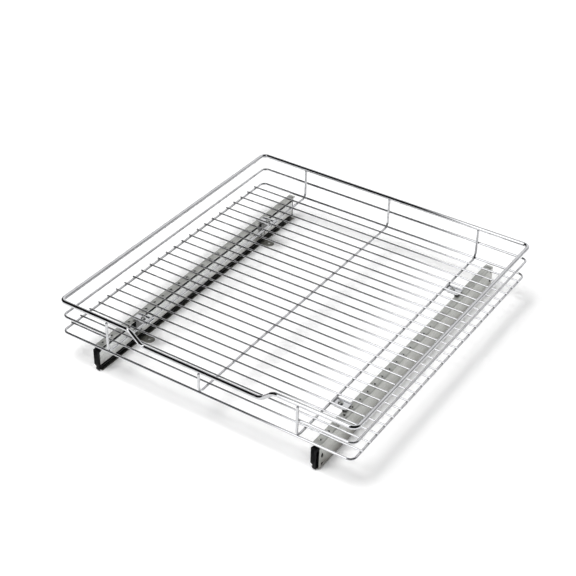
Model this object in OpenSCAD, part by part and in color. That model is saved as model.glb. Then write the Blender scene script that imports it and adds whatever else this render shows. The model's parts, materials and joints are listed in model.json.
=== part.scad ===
// Pull out cabinet basket: a chrome wire basket on a pair of ball bearing slides.
// Millimetres. +Z is up, the hand pull faces -Y, and the slides stand on Z = 0.

/* [Basket] */
// Outside width of the top rim
basket_w = 508; // [440:1:700]
// Outside depth of the top rim
basket_d = 533; // [400:1:700]
// Height from the bottom ring to the top rim, between wire centres
wall_h = 54.5; // [52:0.5:120]
// Height of the middle ring above the bottom ring, between wire centres
middle_ring_h = 27; // [14:0.5:30]
// Bend radius of the rim and rings at their corners, at the wire centre
corner_r = 9; // [8:0.5:30]
// Diameter of the top rim wire
rim_d = 6.3; // [5:0.1:8]
// Diameter of the middle and bottom ring wires
ring_d = 3.8; // [3:0.1:5]
// Diameter of the three U-shaped ribs
rib_d = 3.8; // [3:0.1:5]
// Bend radius of the ribs below the front and back walls, at the wire centre
rib_bend_r = 10; // [8:0.5:16]
// Diameter of the floor wires
floor_wire_d = 2.8; // [2:0.1:4]
// Spacing of the floor wires
floor_wire_pitch = 20.9; // [16:0.1:30]
// Distance from the rim's front wire to the first floor wire
first_wire_inset = 19.2; // [16:0.1:30]
// Least distance from the last floor wire to the rim's back wire
last_wire_inset = 20; // [16:0.5:30]
// How far the floor wires run past the bottom ring's wire centre
floor_wire_overhang = 2; // [0.5:0.1:6]
// How far the rings stand in from the rim at the sides
ring_side_inset = 0.7; // [0:0.1:3]
// How far the ribs' front legs stand forward of the rim's wire centre
front_leg_step = 2.8; // [2:0.1:4]
// How far the ribs' back legs stand in from the rim's wire centre
back_leg_step = 1.5; // [0:0.1:3]
// How deep crossing wires sink into each other at a weld
weld_sink = 0.4; // [0.1:0.05:0.6]
// How much thinner a wire is drawn where it bends
bend_draw = 0.04; // [0.02:0.01:0.1]
// How far the straight wire runs on into each bend
bend_lap = 0.1; // [0.05:0.01:0.15]

/* [Hand pull] */
// Drop of the rim in the middle of the front
dip_drop = 18.5; // [8:0.5:22]
// Width of the dip's level bottom, between bend corners
dip_floor_w = 204; // [120:1:280]
// Width of the slope at each end of the dip, between bend corners
dip_slope_w = 21; // [20:1:60]
// Bend radius of the rim wire at the dip
dip_bend_r = 18; // [8:0.5:20]

/* [Slide rail] */
// Height of a rail
rail_h = 43.5; // [42:0.5:60]
// Thickness of a slide from its web to its open mouth
rail_w = 12.7; // [12.5:0.1:16]
// Sheet thickness of a rail
rail_t = 1.2; // [1:0.1:1.4]
// Outside bend radius of the rail
rail_bend_r = 1.8; // [1.5:0.1:2.4]
// Distance from the basket's side to the rail's outer face
rail_inset = 58; // [50:0.5:90]
// Distance from the front of the rim to the front of the rail
rail_front_setback = 7.5; // [6:0.5:40]
// Distance from the back of the rim to the back of the rail
rail_rear_setback = 5; // [3:0.5:40]
// Distance from the top of the rail to the bottom ring's wire centre
basket_lift = 5; // [4.5:0.1:12]
// Diameter of the holes along the rail's top
top_hole_d = 4; // [3:0.1:5]
// Spacing of the holes along the rail's top
top_hole_pitch = 20.6; // [12:0.1:40]
// Distance from the rail's front to the first hole
top_hole_inset = 11; // [6:0.5:20]
// Diameter of the screw holes in the web
web_hole_d = 4.6; // [3.5:0.1:5.5]
// Length of the slotted holes in the web
web_slot_l = 8; // [6:0.1:12]
// Distance from the rail's ends to the web's holes
web_hole_inset = 6.5; // [5:0.5:10]
// Spacing of the three web holes at each end
web_hole_pitch = 14.5; // [12:0.1:15]

/* [Mounting feet] */
// How far a foot reaches in from the rail
foot_reach = 18; // [14:0.5:30]
// Width of a foot
foot_w = 18; // [14:0.5:26]
// Sheet thickness of a foot
foot_t = 1.5; // [1:0.1:2]
// How far the foot's pad reaches over the rail's bottom flange
foot_pad_l = 3; // [2:0.1:3.2]
// Diameter of the foot's screw hole
foot_hole_d = 5; // [3.5:0.1:6]
// Distance from the rail's mouth to the foot's screw hole
foot_hole_reach = 9.5; // [8:0.1:14]
// Distance from the rail's front to the middle of the front foot
front_foot_inset = 99; // [20:1:160]
// Distance from the rail's back to the middle of the rear foot
rear_foot_inset = 95; // [20:1:160]

/* [Slide members] */
// Height of the outer member
member_h = 36; // [35:0.5:38]
// Sheet thickness of the outer member
outer_t = 1; // [0.8:0.1:1.1]
// Height of the lips that hold the outer balls
outer_lip_h = 2.8; // [2:0.1:3.2]
// Diameter of the balls between the outer and middle members
outer_ball_d = 3; // [2.6:0.1:3.2]
// Diameter of the balls between the middle and inner members
inner_ball_d = 2; // [1.8:0.1:2.2]
// Play of a ball in its race, on each side
ball_play = 0.15; // [0.1:0.01:0.2]
// Gap that keeps each member of a slide clear of the next
member_gap = 0.3; // [0.25:0.01:0.35]
// Sheet thickness of the middle member
middle_t = 0.8; // [0.7:0.05:0.9]
// How much shorter the middle member is than the rail
middle_short = 50; // [30:1:120]
// Distance from the rail's front to the middle member's front
middle_setback = 2.5; // [1:0.5:10]
// Sheet thickness of the inner member
inner_t = 1; // [0.8:0.1:1.1]
// Height of the inner member's face
face_h = 24.3; // [23.5:0.1:26]
// How far the inner member's face lies behind the rail's mouth
face_recess = 3.4; // [3:0.1:3.6]
// Height and width of the small ridges that keep the balls in their races
race_ridge = 0.3; // [0.2:0.05:0.35]
// Length of the ball cages
cage_l = 200; // [100:5:220]
// Sheet thickness of the ball cages
cage_t = 0.4; // [0.3:0.05:0.45]
// Spacing of the balls in a cage
ball_pitch = 16; // [10:0.5:30]
// Distance of the outer ball cage's middle behind the rail's middle
outer_cage_y = -22; // [-24:1:-16]

/* [Carriers] */
// Reach of the basket's welded tabs, along X
tab_l = 28; // [26:0.5:34]
// Width of the tabs
tab_w = 18; // [14:0.5:20]
// Sheet thickness of the tabs
tab_t = 1.5; // [1:0.1:1.6]
// How far a tab runs past its rib's wire centre
tab_past_rib = 3; // [2:0.1:6]
// Distance from the rib's wire centre to the slide's mouth
rib_to_mouth = 20.3; // [18.5:0.1:30]
// Width of the cranked brackets on the inner members
carrier_w = 16; // [12:0.5:20]
// Sheet thickness of the brackets
carrier_t = 1.5; // [1.2:0.1:1.7]
// Gap between the rail's mouth and a bracket's upright leg
carrier_gap = 0.5; // [0.3:0.1:1]
// Length of a bracket's level leg
carrier_reach = 14.5; // [13:0.1:18]
// Distance of the clamp screw from the slide's mouth
screw_reach = 9.3; // [8.5:0.1:10]
// Diameter of the clamp screw
screw_d = 4; // [3:0.1:5]
// Diameter of the clamp screw's head
screw_head_d = 8; // [6:0.1:9]
// Height of the clamp screw's head
screw_head_h = 2.3; // [1.5:0.1:3]
// Length of the cross slots in the head
screw_slot_l = 5.4; // [3:0.1:5.6]
// Width of the cross slots in the head
screw_slot_w = 1; // [0.6:0.1:1.4]
// Width across the nut's flats
nut_flats = 7; // [6:0.1:8]
// Height of the nut
nut_h = 3.2; // [2:0.1:4]
// Diameter of the rivets' shanks
rivet_d = 3.2; // [2.5:0.1:4]
// Diameter of the rivets' heads
rivet_head_d = 6; // [4.5:0.1:7]
// Height of the rivets' heads
rivet_head_h = 0.9; // [0.6:0.1:1.2]
// Spacing of the two rivets of a bracket
rivet_pitch = 8; // [7:0.1:9]
// Which gap between floor wires holds the tabs, counted from either end
tab_gap_index = 3; // [2:1:6]

/* [End caps] */
// Thickness of the cap over a slide's front end
cap_t = 4; // [2:0.5:8]
// Gap between the closed cap and the rail
cap_gap = 0.8; // [0.4:0.1:2]
// Distance from the rail's top to the top of the cap
cap_drop = 3.5; // [2:0.1:5]
// Height of the cap's lower edge above the floor
cap_lift = 2.2; // [1.5:0.1:4]
// Gap between the cap's sides and the planes of the rail's web and mouth
cap_inset = 0.6; // [0.3:0.1:1]
// Height of the arm across the top of the cap
cap_arm_h = 5; // [3:0.1:7]
// Distance from the cap's lower edge to its notch
cap_notch_lift = 4; // [3:0.1:6]
// Height of the notch
cap_notch_h = 3; // [2:0.1:4]
// Depth of the notch
cap_notch_l = 4.5; // [3:0.1:5]
// Length of the cap's plug inside the inner member
cap_plug_l = 8; // [4:0.5:20]
// Length of the stop block at a slide's rear end
stop_l = 4; // [2:0.5:4]
// Gap between the closed inner member and the stop block
stop_gap = 0.5; // [0.3:0.1:2]

/* [Hidden] */
$fn = 48;

// One overrun serves every cut, and one clearance every bolt and rivet hole
cut_over = 1;
hole_fit = 0.1;
plug_fit = 0.2;

// Finishes
chrome_colour = [0.82, 0.83, 0.85];
steel_colour = [0.66, 0.68, 0.64];
bright_colour = [0.78, 0.79, 0.78];
dark_colour = [0.13, 0.13, 0.14];
plastic_colour = [0.06, 0.06, 0.07];

// Heights of the wires
ring_z = rail_h + basket_lift;
middle_z = ring_z + middle_ring_h;
rim_z = ring_z + wall_h;
rib_z = ring_z;
floor_wire_z = ring_z + (ring_d + floor_wire_d) / 2 - weld_sink;

// Plan of the basket. The frame's origin is midway between its foremost and rearmost wires.
weld_reach = (ring_d + rib_d) / 2 - weld_sink;
front_over = front_leg_step + rib_d / 2 - rim_d / 2;
back_over = weld_reach + ring_d / 2 - back_leg_step - rim_d / 2;
shift_y = (max(front_over, 0) - max(back_over, 0)) / 2;
rim_x = (basket_w - rim_d) / 2;
dip_angle = atan2(dip_drop, dip_slope_w);
dip_tangent = dip_bend_r * tan(dip_angle / 2);
rim_front_y = shift_y - (basket_d - rim_d) / 2;
rim_back_y = shift_y + (basket_d - rim_d) / 2;
leg_front_y = rim_front_y - front_leg_step;
leg_back_y = rim_back_y - back_leg_step;
ring_x = rim_x - ring_side_inset;
// The bottom ring nestles in the outside of the ribs' bends
nest = sqrt(pow(rib_bend_r + weld_reach, 2) - pow(rib_bend_r, 2)) - rib_bend_r;
bottom_front_y = leg_front_y - nest;
bottom_back_y = leg_back_y + nest;
// The middle ring lies behind the ribs' front legs and behind their back legs
middle_front_y = leg_front_y + weld_reach;
middle_back_y = leg_back_y + weld_reach;

// Floor wires and the gaps that hold the tabs
first_wire_y = rim_front_y + first_wire_inset;
floor_wire_count = floor((rim_back_y - last_wire_inset - first_wire_y) / floor_wire_pitch) + 1;
tab_front_y = first_wire_y + (tab_gap_index + 0.5) * floor_wire_pitch;
tab_rear_y = first_wire_y + (floor_wire_count - tab_gap_index - 1.5) * floor_wire_pitch;

// Slides, measured across a slide from the rail's outer face
rail_x = basket_w / 2 - rail_inset;
mouth_x = rail_x - rail_w;
rib_x = mouth_x - rib_to_mouth;
rail_front_y = shift_y - basket_d / 2 + rail_front_setback;
rail_back_y = shift_y + basket_d / 2 - rail_rear_setback;
rail_l = rail_back_y - rail_front_y;
rail_mid_y = (rail_front_y + rail_back_y) / 2;
middle_l = rail_l - middle_short;
inner_back_y = rail_back_y - stop_l - stop_gap;
half_h = rail_h / 2;
member_v = member_h / 2;
outer_race_v = member_v - outer_t;
middle_v = outer_race_v - outer_ball_d - 2 * ball_play;
inner_race_v = middle_v - middle_t;
inner_v = inner_race_v - inner_ball_d - 2 * ball_play;
outer_ball_v = (outer_race_v + middle_v) / 2;
inner_ball_v = (inner_race_v + inner_v) / 2;
face_u = rail_w - face_recess;
face_x = rail_x - face_u;
face_back_u = face_u - inner_t;
outer_u = rail_t + outer_t;
outer_end_u = face_u - member_gap;
outer_cage_u = outer_u + member_gap;
middle_u = outer_cage_u + cage_t + member_gap;
middle_end_u = outer_end_u - outer_t - member_gap;
inner_cage_u = middle_u + middle_t + member_gap;
inner_flange_u = inner_cage_u + cage_t + member_gap;
outer_ball_u = (middle_u + middle_end_u) / 2;
inner_ball_u = (inner_flange_u + middle_end_u) / 2;
cap_back_y = rail_front_y - cap_gap;

// Tabs, brackets and their screws
tab_top_z = rib_z - rib_d / 2 + weld_sink;
tab_z = tab_top_z - tab_t;
carrier_z = tab_z - carrier_t;
carrier_foot_half = (rivet_pitch + rivet_head_d) / 2 + hole_fit + carrier_t;
carrier_x = mouth_x - carrier_gap;
screw_x = mouth_x - screw_reach;
screw_l = tab_t + carrier_t + nut_h;

// Straight wires along each axis
module wire_x(d, x0, x1, y, z) {
    translate([x0, y, z]) rotate([0, 90, 0]) cylinder(d = d, h = x1 - x0);
}

module wire_y(d, y0, y1, x, z) {
    translate([x, y0, z]) rotate([-90, 0, 0]) cylinder(d = d, h = y1 - y0);
}

module wire_z(d, z0, z1, x, y) {
    translate([x, y, z0]) cylinder(d = d, h = z1 - z0);
}

// A bend of radius r about the Z axis, from the angle start through sweep
module bend(d, r, start, sweep) {
    rotate([0, 0, start]) rotate_extrude(angle = sweep) translate([r, 0]) circle(d = d - bend_draw);
}

// The sides, the back and the four corners of a rounded wire rectangle
module ring_three_sides(d, hx, y0, y1, z) {
    r = corner_r;
    straight = r - bend_lap;
    for (side = [-1, 1]) wire_y(d, y0 + straight, y1 - straight, side * hx, z);
    wire_x(d, straight - hx, hx - straight, y1, z);
    translate([hx - r, y1 - r, z]) bend(d, r, 0, 90);
    translate([r - hx, y1 - r, z]) bend(d, r, 90, 90);
    translate([r - hx, y0 + r, z]) bend(d, r, 180, 90);
    translate([hx - r, y0 + r, z]) bend(d, r, 270, 90);
}

module ring(d, hx, y0, y1, z) {
    ring_three_sides(d, hx, y0, y1, z);
    wire_x(d, corner_r - bend_lap - hx, hx - corner_r + bend_lap, y0, z);
}

// The right half of the rim's front: from the end of the dip's bottom out to the corner
module rim_front_half() {
    low_x = dip_floor_w / 2;
    high_x = low_x + dip_slope_w;
    low_z = rim_z - dip_drop;
    slope_l = sqrt(pow(dip_slope_w, 2) + pow(dip_drop, 2)) - 2 * dip_tangent;
    translate([low_x - dip_tangent, rim_front_y, low_z + dip_bend_r]) rotate([90, 0, 0])
        bend(rim_d, dip_bend_r, 270, dip_angle);
    translate([low_x, rim_front_y, low_z]) rotate([0, 90 - dip_angle, 0])
        translate([0, 0, dip_tangent - bend_lap]) cylinder(d = rim_d, h = slope_l + 2 * bend_lap);
    translate([high_x + dip_tangent, rim_front_y, rim_z - dip_bend_r]) rotate([90, 0, 0])
        bend(rim_d, dip_bend_r, 90, dip_angle);
    wire_x(rim_d, high_x + dip_tangent - bend_lap, rim_x - corner_r + bend_lap, rim_front_y, rim_z);
}

module top_rim() {
    level = dip_floor_w / 2 - dip_tangent + bend_lap;
    color(chrome_colour) union() {
        ring_three_sides(rim_d, rim_x, rim_front_y, rim_back_y, rim_z);
        wire_x(rim_d, -level, level, rim_front_y, rim_z - dip_drop);
        rim_front_half();
        mirror([1, 0, 0]) rim_front_half();
    }
}

// The middle wire is open at the front, below the dip. Its ends are welded on the outer front legs.
module middle_ring() {
    corner_x = ring_x - corner_r + bend_lap;
    end_x = rib_x - rib_d / 2;
    color(chrome_colour) union() {
        ring_three_sides(ring_d, ring_x, middle_front_y, middle_back_y, middle_z);
        wire_x(ring_d, -corner_x, -end_x, middle_front_y, middle_z);
        wire_x(ring_d, end_x, corner_x, middle_front_y, middle_z);
    }
}

module bottom_ring() {
    color(chrome_colour) ring(ring_d, ring_x, bottom_front_y, bottom_back_y, ring_z);
}

module floor_wires() {
    end_x = ring_x + floor_wire_overhang;
    color(chrome_colour) for (i = [0 : floor_wire_count - 1])
        wire_x(floor_wire_d, -end_x, end_x, first_wire_y + i * floor_wire_pitch, floor_wire_z);
}

// Height at which a leg that stands aside by step meets the rim wire at height z
function leg_top(z, step) =
    let (aside = max(step - rib_d / 2, 0))
    z - sqrt(pow(rim_d / 2, 2) - pow(aside, 2)) + weld_sink;

// A rib runs under the floor and up both walls. Its front leg ends under the rim at front_z.
module rib(x, front_z) {
    r = rib_bend_r;
    straight = r - bend_lap;
    color(chrome_colour) union() {
        wire_y(rib_d, leg_front_y + straight, leg_back_y - straight, x, rib_z);
        translate([x, leg_front_y + r, rib_z + r]) rotate([90, 0, 90]) bend(rib_d, r, 180, 90);
        translate([x, leg_back_y - r, rib_z + r]) rotate([90, 0, 90]) bend(rib_d, r, 270, 90);
        wire_z(rib_d, rib_z + straight, leg_top(front_z, front_leg_step), x, leg_front_y);
        wire_z(rib_d, rib_z + straight, leg_top(rim_z, back_leg_step), x, leg_back_y);
    }
}

module left_rib() {
    rib(-rib_x, rim_z);
}

module middle_rib() {
    rib(0, rim_z - dip_drop);
}

module right_rib() {
    rib(rib_x, rim_z);
}

// Everything on a slide is drawn for the right side and mirrored for the left
module on_side(side) {
    if (side < 0) mirror([1, 0, 0]) children();
    else children();
}

// Extrudes a profile drawn in (u, v) along the slide. u runs inward from the rail's
// outer face, and v runs up from the middle of the rail.
module along_slide(y0, y1) {
    translate([rail_x, y1, half_h]) rotate([90, 0, 0]) linear_extrude(height = y1 - y0)
        mirror([1, 0]) children();
}

// A rectangle given by its two corners
module box_2d(u0, v0, u1, v1) {
    translate([u0, v0]) square([u1 - u0, v1 - v0]);
}

// A rectangle with round corners of radius r
module round_box_2d(u0, v0, u1, v1, r) {
    box_2d(u0 + r, v0, u1 - r, v1);
    box_2d(u0, v0 + r, u1, v1 - r);
    for (u = [u0 + r, u1 - r], v = [v0 + r, v1 - r]) translate([u, v]) circle(r = r);
}

// A rail is a channel that is open towards the basket
module rail_profile() {
    past_u = rail_w + rail_bend_r;
    difference() {
        round_box_2d(0, -half_h, past_u, half_h, rail_bend_r);
        round_box_2d(rail_t, rail_t - half_h, past_u + rail_bend_r, half_h - rail_t,
                     rail_bend_r - rail_t);
        box_2d(rail_w, -half_h - cut_over, past_u + cut_over, half_h + cut_over);
    }
}

// Two round holes with an upright slot between them, through both webs at y
module web_holes(y) {
    slot_half = (web_slot_l - web_hole_d) / 2;
    cut_l = outer_u + 2 * cut_over;
    for (v = [-web_hole_pitch, -slot_half, slot_half, web_hole_pitch])
        translate([rail_x + cut_over, y, half_h + v])
            rotate([0, -90, 0]) cylinder(d = web_hole_d, h = cut_l);
    translate([rail_x + cut_over - cut_l, y - web_hole_d / 2, half_h - slot_half])
        cube([cut_l, web_hole_d, 2 * slot_half]);
}

module both_web_holes() {
    web_holes(rail_front_y + web_hole_inset);
    web_holes(rail_back_y - web_hole_inset);
}

module rail(side) {
    count = floor((rail_l - 2 * top_hole_inset) / top_hole_pitch) + 1;
    color(steel_colour) on_side(side) difference() {
        along_slide(rail_front_y, rail_back_y) rail_profile();
        for (i = [0 : count - 1])
            translate([rail_x - rail_w / 2, rail_front_y + top_hole_inset + i * top_hole_pitch,
                       rail_h - rail_t - cut_over])
                cylinder(d = top_hole_d, h = rail_t + 2 * cut_over);
        both_web_holes();
    }
}

module left_rail() {
    rail(-1);
}

module right_rail() {
    rail(1);
}

// The outer member is welded into the rail. Its lips hold the outer balls.
module outer_member(side) {
    color(dark_colour) on_side(side) difference() {
        along_slide(rail_front_y, rail_back_y) difference() {
            box_2d(rail_t, -member_v, outer_end_u, member_v);
            box_2d(outer_u, -outer_race_v, outer_end_u - outer_t, outer_race_v);
            box_2d(outer_u, outer_lip_h - member_v, outer_end_u + cut_over, member_v - outer_lip_h);
        }
        both_web_holes();
    }
}

module left_outer_member() {
    outer_member(-1);
}

module right_outer_member() {
    outer_member(1);
}

// The middle member is a channel whose flange ends are ridged to hold the outer balls
module middle_member(side) {
    y0 = rail_front_y + middle_setback;
    past_v = middle_v + race_ridge;
    color(dark_colour) on_side(side) along_slide(y0, y0 + middle_l) difference() {
        box_2d(middle_u, -past_v, middle_end_u, past_v);
        box_2d(middle_u + middle_t, -inner_race_v, middle_end_u + cut_over, inner_race_v);
        for (s = [0, 1]) mirror([0, s])
            box_2d(middle_u - cut_over, middle_v, middle_end_u - race_ridge, past_v + cut_over);
    }
}

module left_middle_member() {
    middle_member(-1);
}

module right_middle_member() {
    middle_member(1);
}

// The inner member is a shallow channel: its face carries the basket
module inner_member(side) {
    face_v = face_h / 2;
    color(bright_colour) on_side(side) difference() {
        along_slide(rail_front_y, inner_back_y) {
            box_2d(face_back_u, -face_v, face_u, face_v);
            for (s = [0, 1]) mirror([0, s]) {
                box_2d(inner_flange_u, inner_v - inner_t, face_u, inner_v);
                box_2d(inner_flange_u, inner_v - inner_t, inner_flange_u + race_ridge,
                       inner_v + race_ridge);
            }
        }
        for (y = [tab_front_y, tab_rear_y]) at_rivets(y)
            translate([0, 0, -cut_over])
                cylinder(d = rivet_d + hole_fit, h = inner_t + 2 * cut_over);
    }
}

module left_inner_member() {
    inner_member(-1);
}

module right_inner_member() {
    inner_member(1);
}

// A ball cage is a thin channel with a pocket for each ball
function ball_count() = floor((cage_l - ball_pitch) / ball_pitch) + 1;

module cage(side, mid_y, web_u, end_u, ball_u, ball_v, ball_d) {
    count = ball_count();
    color(bright_colour) on_side(side) difference() {
        along_slide(mid_y - cage_l / 2, mid_y + cage_l / 2) difference() {
            box_2d(web_u, -ball_v - cage_t / 2, end_u, ball_v + cage_t / 2);
            box_2d(web_u + cage_t, cage_t / 2 - ball_v, end_u + cut_over, ball_v - cage_t / 2);
        }
        for (i = [0 : count - 1], row = [-1, 1])
            translate([rail_x - ball_u, mid_y + (i - (count - 1) / 2) * ball_pitch,
                       half_h + row * ball_v - cage_t])
                cylinder(d = ball_d + 2 * ball_play, h = 2 * cage_t);
    }
}

module balls(side, mid_y, ball_u, ball_v, ball_d) {
    count = ball_count();
    color(bright_colour) on_side(side) for (i = [0 : count - 1], row = [-1, 1])
        translate([rail_x - ball_u, mid_y + (i - (count - 1) / 2) * ball_pitch,
                   half_h + row * ball_v])
            sphere(d = ball_d);
}

module outer_cage(side) {
    cage(side, rail_mid_y + outer_cage_y, outer_cage_u, middle_end_u,
         outer_ball_u, outer_ball_v, outer_ball_d);
}

module inner_cage(side) {
    cage(side, rail_mid_y, inner_cage_u, face_back_u - member_gap,
         inner_ball_u, inner_ball_v, inner_ball_d);
}

module outer_balls(side) {
    balls(side, rail_mid_y + outer_cage_y, outer_ball_u, outer_ball_v, outer_ball_d);
}

module inner_balls(side) {
    balls(side, rail_mid_y, inner_ball_u, inner_ball_v, inner_ball_d);
}

module left_outer_cage() {
    outer_cage(-1);
}

module right_outer_cage() {
    outer_cage(1);
}

module left_inner_cage() {
    inner_cage(-1);
}

module right_inner_cage() {
    inner_cage(1);
}

module left_outer_balls() {
    outer_balls(-1);
}

module right_outer_balls() {
    outer_balls(1);
}

module left_inner_balls() {
    inner_balls(-1);
}

module right_inner_balls() {
    inner_balls(1);
}

// A cap closes the front of a slide. It is plugged into the inner member. Both caps are the
// same part, so the notch in the right one faces the basket and that in the left one the web.
module front_cap(side) {
    low = cap_lift - half_h;
    high = half_h - cap_drop;
    notch_v = low + cap_notch_lift;
    notch_u = side < 0 ? cap_inset : face_u - cap_notch_l;
    color(plastic_colour) on_side(side) union() {
        along_slide(cap_back_y - cap_t, cap_back_y) difference() {
            union() {
                box_2d(cap_inset, low, face_u, high);
                box_2d(cap_inset, high - cap_arm_h, rail_w - cap_inset, high);
            }
            translate([side < 0 ? -cut_over : 0, 0])
                box_2d(notch_u, notch_v, notch_u + cap_notch_l + cut_over, notch_v + cap_notch_h);
        }
        along_slide(cap_back_y, rail_front_y + cap_plug_l)
            box_2d(inner_flange_u, inner_t + plug_fit - inner_v, face_back_u, inner_v - inner_t - plug_fit);
    }
}

module left_front_cap() {
    front_cap(-1);
}

module right_front_cap() {
    front_cap(1);
}

// A stop block closes the rear of a slide between the outer member's web and lips
module rear_stop(side) {
    color(plastic_colour) on_side(side) along_slide(rail_back_y - stop_l, rail_back_y)
        box_2d(outer_u, plug_fit - outer_race_v, outer_end_u - outer_t, outer_race_v - plug_fit);
}

module left_rear_stop() {
    rear_stop(-1);
}

module right_rear_stop() {
    rear_stop(1);
}

// A foot is screwed to the cabinet floor. Its pad is welded on the rail's bottom flange.
module foot(side, y) {
    tip_x = mouth_x - foot_reach;
    edge_y = y - foot_w / 2;
    color(steel_colour) on_side(side) difference() {
        union() {
            translate([tip_x + foot_w / 2, edge_y, 0]) cube([foot_reach - foot_w / 2, foot_w, foot_t]);
            translate([tip_x + foot_w / 2, y, 0]) cylinder(d = foot_w, h = foot_t);
            translate([mouth_x - foot_t, edge_y, 0]) cube([foot_t, foot_w, rail_t + foot_t]);
            translate([mouth_x - foot_t, edge_y, rail_t]) cube([foot_t + foot_pad_l, foot_w, foot_t]);
        }
        translate([mouth_x - foot_hole_reach, y, -cut_over])
            cylinder(d = foot_hole_d, h = foot_t + 2 * cut_over);
    }
}

module left_front_foot() {
    foot(-1, rail_front_y + front_foot_inset);
}

module left_rear_foot() {
    foot(-1, rail_back_y - rear_foot_inset);
}

module right_front_foot() {
    foot(1, rail_front_y + front_foot_inset);
}

module right_rear_foot() {
    foot(1, rail_back_y - rear_foot_inset);
}

// A tab is welded under a rib, and lies over the slide
module tab(side, y) {
    color(chrome_colour) on_side(side) difference() {
        translate([rib_x - tab_past_rib, y - tab_w / 2, tab_z]) cube([tab_l, tab_w, tab_t]);
        translate([screw_x, y, tab_z - cut_over])
            cylinder(d = screw_d + hole_fit, h = tab_t + 2 * cut_over);
    }
}

module left_front_tab() {
    tab(-1, tab_front_y);
}

module left_rear_tab() {
    tab(-1, tab_rear_y);
}

module right_front_tab() {
    tab(1, tab_front_y);
}

module right_rear_tab() {
    tab(1, tab_rear_y);
}

// Places children at the two rivets of a bracket, on the inner member's face, pointing out
module at_rivets(y) {
    for (s = [-1, 1]) translate([face_x, y, half_h + s * rivet_pitch / 2])
        rotate([0, 90, 0]) children();
}

// A cranked bracket joins a tab to the inner member's face: it comes out of the rail's mouth
// and passes up in front of it
module carrier(side, y) {
    leg_x = carrier_x - carrier_t;
    foot_z = half_h - carrier_foot_half;
    jog_z = half_h + carrier_foot_half - carrier_t;
    edge_y = y - carrier_w / 2;
    color(steel_colour) on_side(side) difference() {
        union() {
            translate([face_x - carrier_t, edge_y, foot_z])
                cube([carrier_t, carrier_w, 2 * carrier_foot_half]);
            translate([leg_x, edge_y, jog_z]) cube([face_x - leg_x, carrier_w, carrier_t]);
            translate([leg_x, edge_y, jog_z]) cube([carrier_t, carrier_w, tab_z - jog_z]);
            translate([carrier_x - carrier_reach, edge_y, carrier_z])
                cube([carrier_reach, carrier_w, carrier_t]);
        }
        translate([screw_x, y, carrier_z - cut_over])
            cylinder(d = screw_d + hole_fit, h = carrier_t + 2 * cut_over);
        at_rivets(y) translate([0, 0, -carrier_t - cut_over])
            cylinder(d = rivet_d + hole_fit, h = carrier_t + 2 * cut_over);
    }
}

module left_front_carrier() {
    carrier(-1, tab_front_y);
}

module left_rear_carrier() {
    carrier(-1, tab_rear_y);
}

module right_front_carrier() {
    carrier(1, tab_front_y);
}

module right_rear_carrier() {
    carrier(1, tab_rear_y);
}

// Places children at the four clamp screws, on top of the tabs
module at_screws() {
    for (side = [-1, 1], y = [tab_front_y, tab_rear_y])
        translate([side * screw_x, y, tab_top_z]) children();
}

module clamp_screws() {
    color(bright_colour) at_screws() difference() {
        union() {
            translate([0, 0, -screw_l]) cylinder(d = screw_d, h = screw_l);
            cylinder(d = screw_head_d, h = screw_head_h);
        }
        for (a = [0, 90]) rotate([0, 0, a])
            translate([-screw_slot_l / 2, -screw_slot_w / 2, screw_head_h / 2])
                cube([screw_slot_l, screw_slot_w, screw_head_h]);
    }
}

module clamp_nuts() {
    color(bright_colour) at_screws() translate([0, 0, -screw_l]) difference() {
        cylinder(d = nut_flats / cos(30), h = nut_h, $fn = 6);
        translate([0, 0, -cut_over]) cylinder(d = screw_d + hole_fit, h = nut_h + 2 * cut_over);
    }
}

module carrier_rivets() {
    color(bright_colour) for (side = [-1, 1], y = [tab_front_y, tab_rear_y]) on_side(side)
        at_rivets(y) {
            translate([0, 0, -carrier_t]) cylinder(d = rivet_d, h = carrier_t + inner_t);
            translate([0, 0, -carrier_t - rivet_head_h]) cylinder(d = rivet_head_d, h = rivet_head_h);
            translate([0, 0, inner_t]) cylinder(d = rivet_head_d, h = rivet_head_h);
        }
}

top_rim();
middle_ring();
bottom_ring();
floor_wires();
left_rib();
middle_rib();
right_rib();
left_front_tab();
left_rear_tab();
right_front_tab();
right_rear_tab();
left_front_carrier();
left_rear_carrier();
right_front_carrier();
right_rear_carrier();
clamp_screws();
clamp_nuts();
carrier_rivets();
left_rail();
right_rail();
left_outer_member();
right_outer_member();
left_middle_member();
right_middle_member();
left_inner_member();
right_inner_member();
left_outer_cage();
right_outer_cage();
left_inner_cage();
right_inner_cage();
left_outer_balls();
right_outer_balls();
left_inner_balls();
right_inner_balls();
left_front_cap();
right_front_cap();
left_rear_stop();
right_rear_stop();
left_front_foot();
left_rear_foot();
right_front_foot();
right_rear_foot();
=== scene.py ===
"""Dresses the pull out cabinet basket: plated wire, slide sheet, fixings, plastic caps and a studio."""

import json
import logging
import math
import random
from collections.abc import Callable
from dataclasses import dataclass
from enum import Enum

import bmesh
import bpy
from mathutils import Matrix, Quaternion, Vector


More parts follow.
